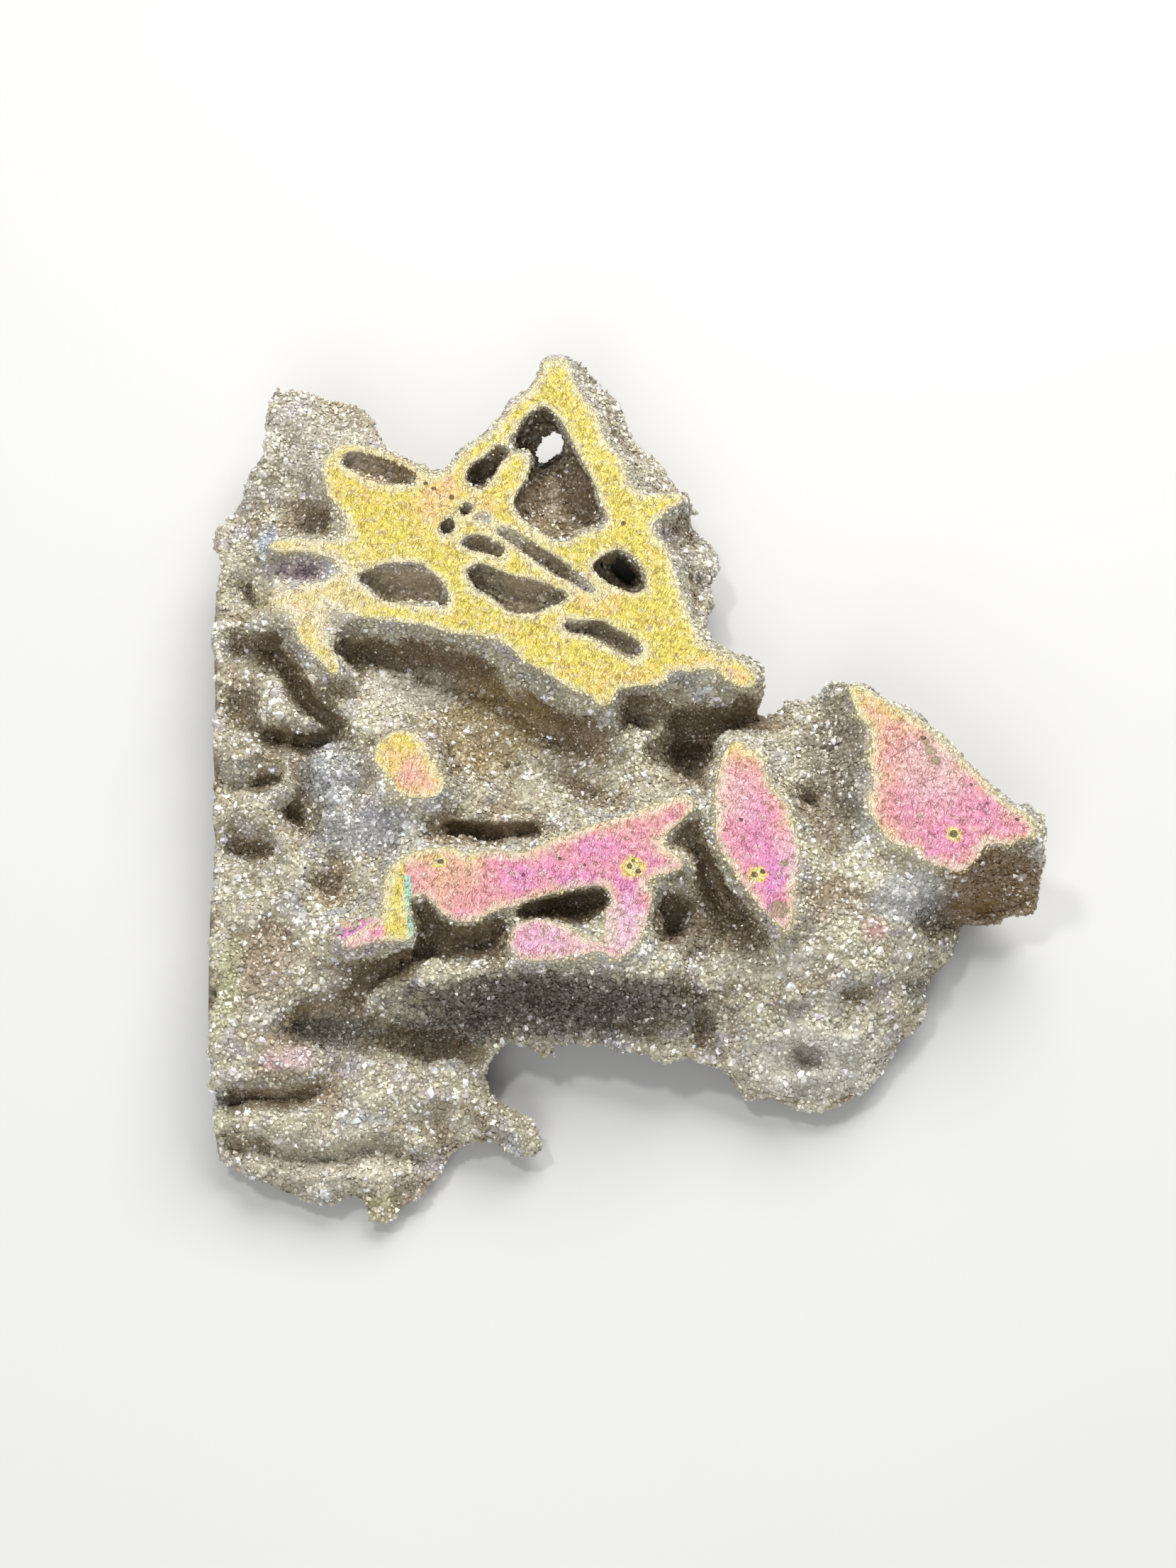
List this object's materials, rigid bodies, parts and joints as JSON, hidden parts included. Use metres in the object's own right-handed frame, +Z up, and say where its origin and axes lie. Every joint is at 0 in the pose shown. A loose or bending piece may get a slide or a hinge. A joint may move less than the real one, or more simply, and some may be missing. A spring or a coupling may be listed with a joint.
{
  "type": "druzy sphalerite slab",
  "caption": "Slab of druzy boxwork, sawn flat on top, underneath and on one side, with iridescent sawn walls around crystal-lined hollows.",
  "frame": {"origin": "middle of the bounding box on the plane of the sawn underside", "axes": "+Z up, out of the sawn top face; +Y from the arched edge to the pointed end; -X towards the sawn left side"},
  "size_m": [0.1232, 0.1338, 0.022],
  "materials": {
    "druzy_quartz": "sparkling grey-beige crystal crust; the sawn walls carry a thin yellow to pink iridescent coating"
  },
  "bodies": {
    "root": {"druzy_slab": "druzy_quartz"}
  },
  "joints": []
}
